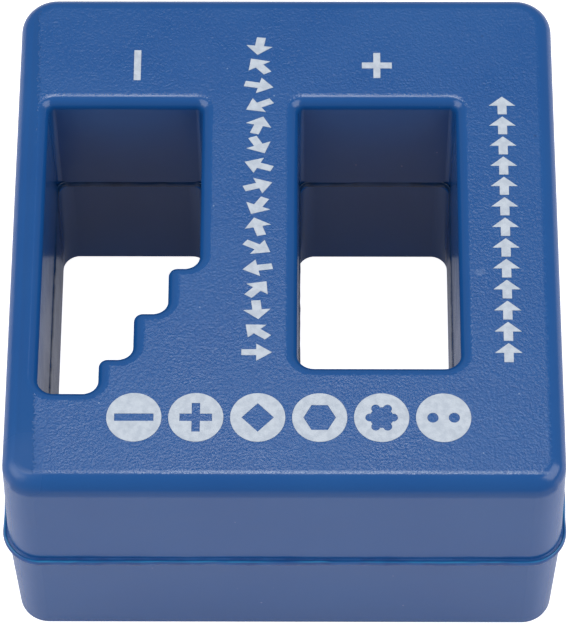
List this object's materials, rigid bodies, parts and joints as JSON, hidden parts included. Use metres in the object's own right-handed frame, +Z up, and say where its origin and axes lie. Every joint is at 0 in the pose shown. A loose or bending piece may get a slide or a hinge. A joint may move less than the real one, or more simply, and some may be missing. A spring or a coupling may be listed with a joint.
{
  "type": "screwdriver magnetiser and demagnetiser",
  "caption": "Blue moulded block with a plain and a stepped through window, for magnetising and demagnetising screwdriver tips.",
  "frame": {"origin": "centre of the flat underside, on the surface that the block rests on", "axes": "+X to the right with the stepped window on the left, +Y to the back, +Z up through the windows"},
  "size_m": [0.0516, 0.054, 0.028],
  "materials": {
    "upper_plastic": "fine spark-eroded texture on the flat top, satin walls",
    "lower_plastic": "satin moulded walls",
    "weld_plastic": "re-solidified weld flash, glossier than the walls",
    "ferrite": "ground sintered ferrite, dark grey",
    "ink": "thin off-white pad print"
  },
  "bodies": {
    "root": {"upper_shell": "upper_plastic", "lower_shell": "lower_plastic", "outer_weld_bead": "weld_plastic", "stepped_window_weld_bead": "weld_plastic", "plain_window_weld_bead": "weld_plastic", "centre_magnet": "ferrite", "side_magnet": "ferrite", "minus_print": "ink", "plus_print": "ink", "demagnetise_arrows": "ink", "magnetise_arrows": "ink", "drive_symbols": "ink"}
  },
  "joints": []
}
